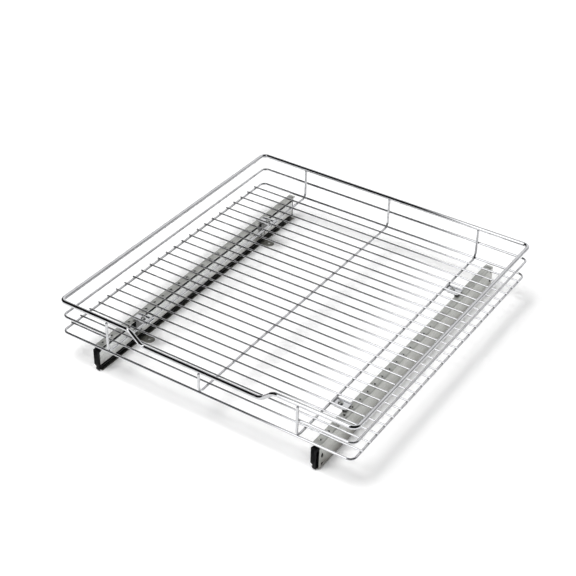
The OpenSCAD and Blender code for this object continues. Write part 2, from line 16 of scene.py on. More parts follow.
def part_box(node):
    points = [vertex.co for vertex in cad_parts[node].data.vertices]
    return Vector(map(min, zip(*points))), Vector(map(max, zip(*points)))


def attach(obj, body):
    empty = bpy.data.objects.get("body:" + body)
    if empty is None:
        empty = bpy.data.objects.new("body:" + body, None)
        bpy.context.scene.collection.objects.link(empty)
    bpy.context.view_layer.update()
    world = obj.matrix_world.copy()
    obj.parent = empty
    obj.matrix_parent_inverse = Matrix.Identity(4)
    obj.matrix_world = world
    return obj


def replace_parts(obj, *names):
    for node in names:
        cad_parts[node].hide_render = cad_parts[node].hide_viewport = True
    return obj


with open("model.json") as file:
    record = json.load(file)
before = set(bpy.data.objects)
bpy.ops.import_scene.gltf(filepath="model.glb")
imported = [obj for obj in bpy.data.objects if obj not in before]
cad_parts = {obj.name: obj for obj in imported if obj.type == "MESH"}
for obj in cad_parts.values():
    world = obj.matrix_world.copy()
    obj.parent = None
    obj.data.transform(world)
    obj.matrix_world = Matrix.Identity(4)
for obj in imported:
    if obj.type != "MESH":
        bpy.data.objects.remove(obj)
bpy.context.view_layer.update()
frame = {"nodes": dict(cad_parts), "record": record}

LOG = logging.getLogger("basket")
MM = 0.001
IMAGE_PX = 576
BASKET_BODY = "basket"
BEAD_SUBDIVISIONS = 2
BEVEL_SEGMENTS = 2
MIX_COLOUR_INPUTS = (0, 6, 7)
MIX_COLOUR_OUTPUT = 2
BLACK = (0.0, 0.0, 0.0, 1.0)
WHITE = (1.0, 1.0, 1.0, 1.0)


class Side(Enum):
    """The two slides, by the sign of their place along X."""

    LEFT = -1
    RIGHT = 1


class Slot(Enum):
    """The record's material slots."""

    CHROME = "bright_chrome"
    RAIL = "galvanised_rail"
    MEMBER = "bright_zinc"
    OUTER = "black_zinc"
    CARRIER = "dark_zinc"
    FIXINGS = "zinc_fixings"
    BALLS = "ball_steel"
    PLASTIC = "black_plastic"


class Graph:
    """A short way to build a node tree, for a material or for a shared group."""

    def __init__(self, tree: bpy.types.NodeTree) -> None:
        """Starts from an empty tree.

        Args:
            tree: the node tree to fill.
        """
        self.tree = tree
        tree.nodes.clear()

    def add(self, kind: str, **values: object) -> bpy.types.Node:
        """Adds a node and sets its properties.

        Args:
            kind: the node's bl_idname.
            **values: properties of the node by name.

        Returns:
            The new node.
        """
        made = self.tree.nodes.new(kind)
        for name, value in values.items():
            setattr(made, name, value)
        return made

    def join(self, source: bpy.types.NodeSocket, target: bpy.types.NodeSocket) -> None:
        """Links an output socket to an input socket."""
        self.tree.links.new(source, target)

    def math(self, operation: str, first: object, second: object,
             clamp: bool = False) -> bpy.types.NodeSocket:
        """Adds a Math node.

        Args:
            operation: the node's operation.
            first: a socket or a number.
            second: a socket or a number.
            clamp: True to keep the answer between 0 and 1.

        Returns:
            The node's output socket.
        """
        made = self.add("ShaderNodeMath", operation=operation, use_clamp=clamp)
        for place, value in enumerate((first, second)):
            if isinstance(value, bpy.types.NodeSocket):
                self.join(value, made.inputs[place])
            else:
                made.inputs[place].default_value = value
        return made.outputs[0]

    def blend(self, share: object, first: object, second: object) -> bpy.types.NodeSocket:
        """Mixes two colours.

        Args:
            share: how much of the second colour, as a socket or a number.
            first: a colour or a colour socket.
            second: a colour or a colour socket.

        Returns:
            The mixed colour's socket.
        """
        made = self.add("ShaderNodeMix", data_type="RGBA")
        for place, value in zip(MIX_COLOUR_INPUTS, (share, first, second)):
            socket = made.inputs[place]
            if isinstance(value, bpy.types.NodeSocket):
                self.join(value, socket)
            elif isinstance(value, tuple):
                socket.default_value = (*value, 1.0)
            else:
                socket.default_value = value
        return made.outputs[MIX_COLOUR_OUTPUT]

    def spread(self, value: bpy.types.NodeSocket, low: float, high: float,
               from_low: float = 0.0, from_high: float = 1.0) -> bpy.types.NodeSocket:
        """Maps a value from one range onto another, and clamps it.

        Args:
            value: the socket to map.
            low: the answer at from_low.
            high: the answer at from_high.
            from_low: where the input range starts.
            from_high: where the input range ends.

        Returns:
            The mapped value's socket.
        """
        made = self.add("ShaderNodeMapRange")
        self.join(value, made.inputs["Value"])
        made.inputs["From Min"].default_value = from_low
        made.inputs["From Max"].default_value = from_high
        made.inputs["To Min"].default_value = low
        made.inputs["To Max"].default_value = high
        return made.outputs["Result"]


@dataclass
class Effects:
    """The shader groups that several finishes share, each built once. Scales are per metre."""

    grain_detail: float = 5.0
    grain_rough: float = 0.62
    grain_edges: tuple[float, float] = (0.38, 0.66)
    smudge_detail: float = 6.0
    smudge_rough: float = 0.6
    smudge_warp: float = 0.4
    smudge_reach: float = 0.75
    smudge_contrast: float = 4.0
    flake_warp_scale: float = 60.0
    flake_warp: float = 4.0 * MM
    # Noise of the painted shade that darkens surfaces near the floor.
    low_shade_scale: float = 45.0
    low_shade_detail: float = 5.0
    low_shade_break: tuple[float, float] = (0.5, 1.2)
    low_shade_edges: tuple[float, float] = (0.3, 0.7)

    def __post_init__(self) -> None:
        """Builds every group."""
        self.grain = self._grain()
        self.smudge = self._smudge()
        self.spangle = self._spangle()
        # The low group paints shade near the floor.
        self.low_shade = self._low_shade()

    @staticmethod
    def _start(name: str, inputs: dict[str, float | tuple[float, float, float] | None],
               outputs: tuple[str, ...]) -> tuple[bpy.types.NodeTree, Graph, bpy.types.Node, bpy.types.Node]:
        """Makes an empty group with its sockets.

        Args:
            name: the group's name.
            inputs: socket names, with a number, a vector, or None for the coordinates.
            outputs: names of the value sockets that the group puts out.

        Returns:
            The group, its graph, and its input and output nodes.
        """
        group = bpy.data.node_groups.new(name, "ShaderNodeTree")
        for label, value in inputs.items():
            kind = "NodeSocketFloat" if isinstance(value, float) else "NodeSocketVector"
            socket = group.interface.new_socket(name=label, in_out="INPUT", socket_type=kind)
            if value is not None:
                socket.default_value = value
        for label in outputs:
            group.interface.new_socket(name=label, in_out="OUTPUT", socket_type="NodeSocketFloat")
        graph = Graph(group)
        return group, graph, graph.add("NodeGroupInput"), graph.add("NodeGroupOutput")

    def _grain(self) -> bpy.types.NodeTree:
        """Fine lines drawn out along one direction, as on rolled or drawn metal."""
        inputs = {"Coordinates": None, "Stretch": (1.0, 1.0, 1.0), "Contrast": 1.0}
        group, graph, given, out = self._start("drawn_grain", inputs, ("Height", "Mask"))
        scaled = graph.add("ShaderNodeVectorMath", operation="MULTIPLY")
        graph.join(given.outputs["Coordinates"], scaled.inputs[0])
        graph.join(given.outputs["Stretch"], scaled.inputs[1])
        noise = graph.add("ShaderNodeTexNoise")
        noise.inputs["Scale"].default_value = 1.0
        noise.inputs["Detail"].default_value = self.grain_detail
        noise.inputs["Roughness"].default_value = self.grain_rough
        graph.join(scaled.outputs[0], noise.inputs["Vector"])
        graph.join(noise.outputs[0], out.inputs["Height"])
        lines = graph.spread(noise.outputs[0], 0.0, 1.0, *self.grain_edges)
        graph.join(graph.math("MULTIPLY", lines, given.outputs["Contrast"], clamp=True), out.inputs["Mask"])
        return group

    def _smudge(self) -> bpy.types.NodeTree:
        """Cloudy patches, as handling and dust leave on a plated surface."""
        inputs = {"Coordinates": None, "Scale": 20.0, "Cover": 0.5}
        group, graph, given, out = self._start("smudge", inputs, ("Mask",))
        noise = graph.add("ShaderNodeTexNoise")
        noise.inputs["Detail"].default_value = self.smudge_detail
        noise.inputs["Roughness"].default_value = self.smudge_rough
        noise.inputs["Distortion"].default_value = self.smudge_warp
        graph.join(given.outputs["Coordinates"], noise.inputs["Vector"])
        graph.join(given.outputs["Scale"], noise.inputs["Scale"])
        above = graph.math("SUBTRACT", 1.0, given.outputs["Cover"])
        raised = graph.math("SUBTRACT", noise.outputs[0], graph.math("MULTIPLY", above, self.smudge_reach))
        graph.join(graph.math("MULTIPLY", raised, self.smudge_contrast, clamp=True), out.inputs["Mask"])
        return group

    def _spangle(self) -> bpy.types.NodeTree:
        """Crystal flakes of zinc, each with a tone of its own."""
        inputs = {"Coordinates": None, "Scale": 300.0}
        group, graph, given, out = self._start("zinc_spangle", inputs, ("Tone",))
        warp = graph.add("ShaderNodeTexNoise")
        warp.inputs["Scale"].default_value = self.flake_warp_scale
        graph.join(given.outputs["Coordinates"], warp.inputs["Vector"])
        shift = graph.add("ShaderNodeVectorMath", operation="MULTIPLY_ADD")
        graph.join(warp.outputs[1], shift.inputs[0])
        shift.inputs[1].default_value = (self.flake_warp,) * 3
        graph.join(given.outputs["Coordinates"], shift.inputs[2])
        cells = graph.add("ShaderNodeTexVoronoi")
        graph.join(shift.outputs[0], cells.inputs["Vector"])
        graph.join(given.outputs["Scale"], cells.inputs["Scale"])
        tone = graph.add("ShaderNodeSeparateColor")
        graph.join(cells.outputs["Color"], tone.inputs[0])
        graph.join(tone.outputs[0], out.inputs["Tone"])
        return group

    def _low_shade(self) -> bpy.types.NodeTree:
        """Painted shade that darkens a surface low down, between two heights, broken up by noise."""
        inputs = {"Coordinates": None, "Low": 0.0, "High": 0.04}
        group, graph, given, out = self._start("painted_low_shade", inputs, ("Mask",))
        split = graph.add("ShaderNodeSeparateXYZ")
        graph.join(given.outputs["Coordinates"], split.inputs[0])
        noise = graph.add("ShaderNodeTexNoise")
        noise.inputs["Scale"].default_value = self.low_shade_scale
        noise.inputs["Detail"].default_value = self.low_shade_detail
        graph.join(given.outputs["Coordinates"], noise.inputs["Vector"])
        above = graph.math("SUBTRACT", split.outputs["Z"], given.outputs["Low"])
        span = graph.math("SUBTRACT", given.outputs["High"], given.outputs["Low"])
        rise = graph.math("SUBTRACT", 1.0, graph.math("DIVIDE", above, span), clamp=True)
        broken = graph.spread(noise.outputs[0], *self.low_shade_break, *self.low_shade_edges)
        graph.join(graph.math("MULTIPLY", rise, broken, clamp=True), out.inputs["Mask"])
        return group


class Surface:
    """One material under construction: its Principled shader, and the object's own coordinates."""

    def __init__(self, name: str) -> None:
        """Makes the material with a Principled shader and an output.

        Args:
            name: the material's name.
        """
        self.material = bpy.data.materials.new(name)
        self.material.use_nodes = True
        self.graph = Graph(self.material.node_tree)
        self.shader = self.graph.add("ShaderNodeBsdfPrincipled")
        out = self.graph.add("ShaderNodeOutputMaterial")
        self.graph.join(self.shader.outputs[0], out.inputs[0])
        self.place = self.graph.add("ShaderNodeTexCoord").outputs["Object"]

    def use(self, group: bpy.types.NodeTree, **values: float | tuple[float, float, float]) -> bpy.types.Node:
        """Places a shared group, fed with the object's coordinates.

        Args:
            group: the shader group.
            **values: the group's inputs by name.

        Returns:
            The group node.
        """
        made = self.graph.add("ShaderNodeGroup", node_tree=group)
        self.graph.join(self.place, made.inputs["Coordinates"])
        for name, value in values.items():
            made.inputs[name].default_value = value
        return made

    def set(self, **values: float | tuple[float, ...]) -> None:
        """Sets constant values on the shader's own sockets, with _ for each space in a name."""
        for name, value in values.items():
            self.shader.inputs[name.replace("_", " ")].default_value = value

    def feed(self, name: str, source: bpy.types.NodeSocket) -> None:
        """Feeds a socket of the shader from a value or colour."""
        self.graph.join(source, self.shader.inputs[name])

    def emboss(self, height: bpy.types.NodeSocket, strength: float, distance: float) -> None:
        """Bumps the surface.

        Args:
            height: the height value.
            strength: the Bump node's strength.
            distance: the height in metres that a value of 1 stands for.
        """
        bump = self.graph.add("ShaderNodeBump")
        bump.inputs["Strength"].default_value = strength
        bump.inputs["Distance"].default_value = distance
        self.graph.join(height, bump.inputs["Height"])
        self.graph.join(bump.outputs[0], self.shader.inputs["Normal"])

    def glow(self, tone: bpy.types.NodeSocket) -> None:
        """Makes the surface a matt black one that gives off white light of the given strength."""
        self.set(Base_Color=BLACK, Roughness=1.0, Specular_IOR_Level=0.0, Emission_Color=WHITE)
        self.feed("Emission Strength", tone)


@dataclass(frozen=True)
class PlatedWire:
    """Bright chrome plate on drawn wire."""

    name: str = "plated_wire"
    clean: tuple[float, float, float] = (0.62, 0.625, 0.64)
    hazed: tuple[float, float, float] = (0.52, 0.52, 0.535)
    smooth: float = 0.025
    rough: float = 0.09
    haze_scale: float = 38.0
    haze_cover: float = 0.36
    draw_scale: float = 900.0
    ripple_strength: float = 0.25
    ripple: float = 0.04 * MM

    def build(self, effects: Effects) -> bpy.types.Material:
        """Makes the material.

        Args:
            effects: the shared groups.

        Returns:
            The material.
        """
        surface = Surface(self.name)
        haze = surface.use(effects.smudge, Scale=self.haze_scale, Cover=self.haze_cover).outputs["Mask"]
        draw = surface.use(effects.grain, Stretch=(self.draw_scale,) * 3)
        surface.set(Metallic=1.0)
        surface.feed("Base Color", surface.graph.blend(haze, self.clean, self.hazed))
        surface.feed("Roughness", surface.graph.spread(haze, self.smooth, self.rough))
        surface.emboss(draw.outputs["Height"], self.ripple_strength, self.ripple)
        return surface.material


@dataclass(frozen=True)
class RolledSheet:
    """Zinc coated sheet steel, rolled along the slides: a rail, a member or a bracket, with painted shade
    near the floor.
    """

    name: str
    light: tuple[float, float, float]
    dark: tuple[float, float, float]
    # The colour after dark is painted shade: the sheet darkens towards it near the floor.
    shade_colour: tuple[float, float, float]
    smooth: float
    rough: float
    flake_scale: float = 260.0
    flake_share: float = 0.35
    # Painted shade: the height below which the sheet darkens, and how far it darkens.
    shade_top: float = 30.0 * MM
    shade_share: float = 0.6
    metal: float = 0.95
    roll_scale: tuple[float, float, float] = (700.0, 16.0, 700.0)
    roll_contrast: float = 1.0
    haze_scale: float = 24.0
    haze_cover: float = 0.4
    haze_share: float = 0.4
    line_strength: float = 0.3
    line_depth: float = 0.06 * MM

    def build(self, effects: Effects) -> bpy.types.Material:
        """Makes the material.

        Args:
            effects: the shared groups.

        Returns:
            The material.
        """
        surface = Surface(self.name)
        graph = surface.graph
        flakes = surface.use(effects.spangle, Scale=self.flake_scale)
        roll = surface.use(effects.grain, Stretch=self.roll_scale, Contrast=self.roll_contrast)
        haze = surface.use(effects.smudge, Scale=self.haze_scale, Cover=self.haze_cover).outputs["Mask"]
        # Painted shade: the sheet darkens towards the floor, broken up by noise.
        low_shade = surface.use(effects.low_shade, Low=0.0, High=self.shade_top).outputs["Mask"]
        tone = graph.math("ADD", graph.math("MULTIPLY", flakes.outputs["Tone"], self.flake_share),
                          graph.math("MULTIPLY", roll.outputs["Mask"], 1.0 - self.flake_share))
        colour = graph.blend(tone, self.light, self.dark)
        shade_amount = graph.math("MULTIPLY", low_shade, self.shade_share)
        surface.feed("Base Color", graph.blend(shade_amount, colour, self.shade_colour))
        surface.set(Metallic=self.metal)
        mixed = graph.math("ADD", graph.math("MULTIPLY", tone, 1.0 - self.haze_share),
                           graph.math("MULTIPLY", haze, self.haze_share))
        surface.feed("Roughness", graph.spread(mixed, self.smooth, self.rough))
        surface.emboss(roll.outputs["Height"], self.line_strength, self.line_depth)
        return surface.material


@dataclass(frozen=True)
class PolishedSteel:
    """Ground and polished steel of the balls."""

    name: str = "polished_ball_steel"
    colour: tuple[float, float, float] = (0.72, 0.72, 0.74)
    oiled: tuple[float, float, float] = (0.52, 0.50, 0.46)
    smooth: float = 0.05
    rough: float = 0.2
    film_scale: float = 180.0
    film_cover: float = 0.45

    def build(self, effects: Effects) -> bpy.types.Material:
        """Makes the material.

        Args:
            effects: the shared groups.

        Returns:
            The material.
        """
        surface = Surface(self.name)
        film = surface.use(effects.smudge, Scale=self.film_scale, Cover=self.film_cover).outputs["Mask"]
        surface.set(Metallic=1.0)
        surface.feed("Base Color", surface.graph.blend(film, self.colour, self.oiled))
        surface.feed("Roughness", surface.graph.spread(film, self.smooth, self.rough))
        return surface.material


@dataclass(frozen=True)
class MouldedPlastic:
    """Black moulded plastic with a fine matt texture."""

    name: str = "moulded_black"
    deep: tuple[float, float, float] = (0.004, 0.004, 0.005)
    worn: tuple[float, float, float] = (0.014, 0.014, 0.015)
    smooth: float = 0.34
    rough: float = 0.55
    shine: float = 0.08
    dust_scale: float = 90.0
    dust_cover: float = 0.4
    pebble_scale: float = 2600.0
    pebble_strength: float = 0.4
    pebble_depth: float = 0.1 * MM

    def build(self, effects: Effects) -> bpy.types.Material:
        """Makes the material.

        Args:
            effects: the shared groups.

        Returns:
            The material.
        """
        surface = Surface(self.name)
        dust = surface.use(effects.smudge, Scale=self.dust_scale, Cover=self.dust_cover).outputs["Mask"]
        pebble = surface.use(effects.grain, Stretch=(self.pebble_scale,) * 3)
        surface.feed("Base Color", surface.graph.blend(dust, self.deep, self.worn))
        surface.feed("Roughness", surface.graph.spread(dust, self.smooth, self.rough))
        surface.set(Specular_IOR_Level=self.shine)
        surface.emboss(pebble.outputs["Height"], self.pebble_strength, self.pebble_depth)
        return surface.material


# In each sheet, the third colour is painted shade that it darkens to near the floor.
FINISHES: dict[Slot, PlatedWire | RolledSheet | PolishedSteel | MouldedPlastic] = {
    Slot.CHROME: PlatedWire(),
    Slot.RAIL: RolledSheet(
        name="galvanised_sheet", light=(0.56, 0.565, 0.54), dark=(0.40, 0.405, 0.385),
        shade_colour=(0.20, 0.18, 0.15), smooth=0.30, rough=0.48),
    Slot.MEMBER: RolledSheet(
        name="bright_member_sheet", light=(0.74, 0.75, 0.74), dark=(0.60, 0.61, 0.60),
        shade_colour=(0.34, 0.32, 0.29), smooth=0.22, rough=0.38),
    Slot.OUTER: RolledSheet(
        name="black_member_sheet", light=(0.060, 0.060, 0.064), dark=(0.030, 0.030, 0.032),
        shade_colour=(0.016, 0.015, 0.014), smooth=0.26, rough=0.42),
    Slot.CARRIER: RolledSheet(
        name="dark_bracket_sheet", light=(0.20, 0.20, 0.20), dark=(0.11, 0.11, 0.11),
        shade_colour=(0.05, 0.05, 0.045), smooth=0.28, rough=0.45),
    Slot.FIXINGS: RolledSheet(
        name="fixing_zinc", light=(0.66, 0.67, 0.66), dark=(0.50, 0.51, 0.50),
        shade_colour=(0.30, 0.29, 0.27), smooth=0.20, rough=0.36, flake_scale=600.0),
    Slot.BALLS: PolishedSteel(),
    Slot.PLASTIC: MouldedPlastic(),
}


class FinishSet:
    """Every finish of the object, by the record's slot."""

    def __init__(self, effects: Effects) -> None:
        """Builds the finishes.

        Args:
            effects: the shared groups.
        """
        self.materials = {slot: finish.build(effects) for slot, finish in FINISHES.items()}

    def dress(self, piece: bpy.types.Object, slot: Slot) -> None:
        """Gives a piece the finish of a slot.

        Args:
            piece: the object to dress.
            slot: the record's slot.
        """
        piece.data.materials.clear()
        piece.data.materials.append(self.materials[slot])

    def dress_cad(self) -> None:
        """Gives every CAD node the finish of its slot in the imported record."""
        for part in frame["record"]["subparts"]:
            self.dress(frame["nodes"][part["node"]], Slot(part["material_slot"]))
            LOG.info("dressed %s", part["node"])


class MeshKit:
    """Gathers simple shapes into one mesh, in metres."""

    def __init__(self, name: str) -> None:
        """Starts an empty mesh.

        Args:
            name: the name of the piece that the mesh becomes.
        """
        self.name = name
        self.shape = bmesh.new()

    def lathe(self, profile: list[tuple[float, float]], place: Vector, turn: Quaternion, steps: int,
              lower: Callable[[float, float], float] | None = None) -> None:
        """Turns a profile about an axis.

        Args:
            profile: pairs of radius and height, from one end to the other.
            place: where the profile's zero height goes.
            turn: the turn that takes +Z to the axis.
            steps: how many facets go around.
            lower: how far a point at the given x and y sinks below the profile.
        """
        rings = []
        for radius, height in profile:
            ring = []
            for step in range(steps):
                angle = math.tau * step / steps
                x, y = radius * math.cos(angle), radius * math.sin(angle)
                drop = lower(x, y) if lower else 0.0
                ring.append(self.shape.verts.new(place + turn @ Vector((x, y, height - drop))))
            rings.append(ring)
        for first, second in zip(rings, rings[1:]):
            for step in range(steps):
                after = (step + 1) % steps
                self.shape.faces.new((first[step], first[after], second[after], second[step]))
        self.shape.faces.new(rings[0][::-1])
        self.shape.faces.new(rings[-1])

    def blob(self, centre: Vector, radii: Vector, rough: float, dice: random.Random) -> None:
        """Adds a small uneven ellipsoid, such as a weld bead.

        Args:
            centre: its centre.
            radii: its half sizes along X, Y and Z.
            rough: how far its points stray, as a share of the radii.
            dice: the seeded source of the strays.
        """
        made = bmesh.ops.create_icosphere(self.shape, subdivisions=BEAD_SUBDIVISIONS, radius=1.0)
        for point in made["verts"]:
            stray = 1.0 + rough * dice.uniform(-1.0, 1.0)
            point.co = centre + Vector((share * radius * stray for share, radius in zip(point.co, radii)))

    def bar(self, low: Vector, high: Vector, bevel: float) -> None:
        """Adds a box with broken edges.

        Args:
            low: its lowest corner.
            high: its highest corner.
            bevel: the width of its broken edges.
        """
        made = bmesh.ops.create_cube(self.shape, size=1.0)
        middle, size = (low + high) / 2, high - low
        for point in made["verts"]:
            point.co = middle + Vector((share * length for share, length in zip(point.co, size)))
        edges = {edge for point in made["verts"] for edge in point.link_edges}
        self._break_edges(list(edges), bevel)

    def plate(self, outline: list[tuple[float, float]], front: float, back: float, bevel: float) -> None:
        """Adds a flat plate that faces the front, with broken front edges.

        Args:
            outline: its corners, as pairs of X and Z.
            front: the Y of its front face.
            back: the Y of its back face.
            bevel: the width of its broken edges.
        """
        near = [self.shape.verts.new((x, front, z)) for x, z in outline]
        far = [self.shape.verts.new((x, back, z)) for x, z in outline]
        face = self.shape.faces.new(near)
        self.shape.faces.new(far[::-1])
        for place in range(len(outline)):
            after = (place + 1) % len(outline)
            self.shape.faces.new((near[after], near[place], far[place], far[after]))
        self._break_edges(list(face.edges), bevel)

    def _break_edges(self, edges: list[bmesh.types.BMEdge], bevel: float) -> None:
        """Rounds edges off to a width."""
        bmesh.ops.bevel(self.shape, geom=edges, offset=bevel, segments=BEVEL_SEGMENTS, affect="EDGES")

    def finish(self, body: str, finish_set: FinishSet, slot: Slot) -> bpy.types.Object:
        """Makes the piece, dresses it and lets it ride.

        Args:
            body: the CAD body that it rides on.
            finish_set: the finishes.
            slot: the record's slot that it takes its finish from.

        Returns:
            The piece.
        """
        mesh = bpy.data.meshes.new(self.name)
        bmesh.ops.recalc_face_normals(self.shape, faces=self.shape.faces)
        self.shape.to_mesh(mesh)
        self.shape.free()
        mesh.shade_smooth()
        piece = bpy.data.objects.new(self.name, mesh)
        bpy.context.scene.collection.objects.link(piece)
        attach(piece, body)
        finish_set.dress(piece, slot)
        LOG.info("built %s, %d faces", self.name, len(mesh.polygons))
        return piece


class Box:
    """A CAD node's box at rest."""

    def __init__(self, node: str) -> None:
        """Reads the box.

        Args:
            node: the node's name.
        """
        low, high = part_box(node)
        self.low, self.high = Vector(low), Vector(high)
        self.middle = (self.low + self.high) / 2
        self.size = self.high - self.low


@dataclass
class WeldedBasket:
    """The resistance welds of the wire basket, and the butt welds that close its rings. Metres."""

    floor_wire_count: int = 24
    bead: float = 1.55 * MM
    bead_rise: float = 0.85 * MM
    roughness: float = 0.10
    dip_half: float = 94.0 * MM
    seam_x: float = 38.0 * MM
    seam_half: float = 1.1 * MM
    seam_proud: float = 0.16 * MM
    seam_shoulder_share: float = 0.8
    seam_flat_share: float = 0.3
    seam_steps: int = 32
    ribs: tuple[str, ...] = ("left_rib", "middle_rib", "right_rib")
    seed: int = 7

    def __post_init__(self) -> None:
        """Reads the wires' places from the frame, and seeds the beads' unevenness."""
        self.dice = random.Random(self.seed)
        self.wires = Box("floor_wires")
        self.ring = Box("bottom_ring")
        self.middle_ring = Box("middle_ring")
        self.rim = Box("top_rim")
        self.wire_d = self.wires.size.z
        self.ring_d = self.ring.size.z
        self.pitch = (self.wires.size.y - self.wire_d) / (self.floor_wire_count - 1)

    def wire_ys(self) -> list[float]:
        """Gives the floor wires' places along Y."""
        first = self.wires.low.y + self.wire_d / 2
        return [first + step * self.pitch for step in range(self.floor_wire_count)]

    def build_floor_welds(self, finish_set: FinishSet) -> None:
        """Builds the beads under every floor wire, at the ribs and at the bottom ring.

        Args:
            finish_set: the finishes.
        """
        kit = MeshKit("floor_weld_beads")
        side = self.ring.high.x - self.ring_d / 2
        rows = [Box(rib).middle.x for rib in self.ribs] + [-side, side]
        for x in rows:
            for y in self.wire_ys():
                kit.blob(Vector((x, y, self.wires.low.z)), Vector((self.bead, self.bead, self.bead_rise)),
                         self.roughness, self.dice)
        kit.finish(BASKET_BODY, finish_set, Slot.CHROME)

    def build_leg_welds(self, finish_set: FinishSet) -> None:
        """Builds the beads where the ribs' legs meet the rim and the rings.

        Args:
            finish_set: the finishes.
        """
        kit = MeshKit("leg_weld_beads")
        wall = Vector((self.bead, self.bead_rise, self.bead))
        top = Vector((self.bead, self.bead, self.bead_rise))
        for rib in self.ribs:
            box = Box(rib)
            front, back = box.low.y + box.size.x / 2, box.high.y - box.size.x / 2
            front_top = self.rim_front_z(box.middle.x)
            inner = box.size.x / 2
            welds = [(front, front_top, top), (back, self.rim.high.z - self.rim_d(), top),
                     (back + inner, self.middle_ring.middle.z, wall)]
            if not self.under_dip(box.middle.x):
                welds.append((front + inner, self.middle_ring.middle.z, wall))
            for y, z, radii in welds:
                kit.blob(Vector((box.middle.x, y, z)), radii, self.roughness, self.dice)
        kit.finish(BASKET_BODY, finish_set, Slot.CHROME)

    def rim_d(self) -> float:
        """Gives the rim wire's diameter, from the legs' height at the back."""
        return self.rim.high.z - Box("left_rib").high.z

    def under_dip(self, x: float) -> bool:
        """Tells whether a rib at x meets the rim in its dip, where the middle wire is open."""
        return abs(x) < self.dip_half

    def rim_front_z(self, x: float) -> float:
        """Gives the height of the rim's underside at the front, over a rib at x."""
        return self.rim.low.z if self.under_dip(x) else Box("left_rib").high.z

    def build_seams(self, finish_set: FinishSet) -> None:
        """Builds the ground butt welds at the back of the rim and the two rings.

        Args:
            finish_set: the finishes.
        """
        kit = MeshKit("ring_butt_welds")
        turn = Vector((1.0, 0.0, 0.0)).to_track_quat("Z", "Y")
        for box, diameter in ((self.rim, self.rim_d()), (self.middle_ring, self.ring_d),
                              (self.ring, self.ring_d)):
            bare = diameter / 2 - self.seam_proud
            full = diameter / 2 + self.seam_proud
            place = Vector((self.seam_x, box.high.y - full, box.high.z - full))
            climb = [(bare, -self.seam_half), (diameter / 2, -self.seam_half * self.seam_shoulder_share),
                     (full, -self.seam_half * self.seam_flat_share)]
            descent = [(radius, -height) for radius, height in reversed(climb)]
            kit.lathe(climb + descent, place, turn, self.seam_steps)
        kit.finish(BASKET_BODY, finish_set, Slot.CHROME)

    def build(self, finish_set: FinishSet) -> None:
        """Builds every weld of the basket.

        Args:
            finish_set: the finishes.
        """
        self.build_floor_welds(finish_set)
        self.build_leg_welds(finish_set)
        self.build_seams(finish_set)


@dataclass
class ClampScrews:
    """The four pan head screws with a cross recess, which hold the tabs on the brackets. Metres."""

    head_r: float = 4.0 * MM
    head_edge: float = 1.1 * MM
    crown_r: float = 0.002 * MM
    shank_r: float = 2.0 * MM
    thread_pitch: float = 0.7 * MM
    thread_depth: float = 0.24 * MM
    recess_half_l: float = 2.5 * MM
    recess_half_w: float = 0.55 * MM
    recess_depth: float = 1.2 * MM
    recess_slope: float = 0.35 * MM
    recess_limit_share: float = 0.98
    dome_rings: int = 16
    steps: int = 56

    def recess(self, x: float, y: float) -> float:
        """Gives how far the cross recess sinks a point of the profile, on the head and on the shank below.

        Args:
            x: the distance from the screw's axis along X.
            y: the distance from the screw's axis along Y.

        Returns:
            The depth, which is zero at the head's edge.
        """
        if math.hypot(x, y) >= self.head_r * self.recess_limit_share:
            return 0.0
        along, across = max(abs(x), abs(y)), min(abs(x), abs(y))
        inside = min(self.recess_half_l - along, self.recess_half_w - across)
        return self.recess_depth * max(0.0, min(1.0, 0.5 + inside / self.recess_slope))

    def build(self, finish_set: FinishSet) -> None:
        """Builds the screws in place of the CAD node.

        Args:
            finish_set: the finishes.
        """
        kit = MeshKit("pan_head_screws")
        screws = Box("clamp_screws")
        seat = Box("left_front_tab").high.z
        head_h = screws.high.z - seat
        dome = []
        for ring in range(self.dome_rings):
            lift = math.pi / 2 * ring / self.dome_rings
            height = self.head_edge + (head_h - self.head_edge) * math.sin(lift)
            dome.append((self.head_r * math.cos(lift), seat + height))
        thread = []
        z = screws.low.z
        while z < seat - self.thread_pitch:
            thread += [(self.shank_r - self.thread_depth, z), (self.shank_r, z + self.thread_pitch / 2)]
            z += self.thread_pitch
        profile = [*thread, (self.shank_r, seat), (self.head_r, seat), *dome, (self.crown_r, screws.high.z)]
        for x in (screws.low.x + self.head_r, screws.high.x - self.head_r):
            for y in (screws.low.y + self.head_r, screws.high.y - self.head_r):
                kit.lathe(profile, Vector((x, y, 0.0)), Quaternion(), self.steps, self.recess)
        piece = kit.finish(BASKET_BODY, finish_set, Slot.FIXINGS)
        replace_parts(piece, "clamp_screws")


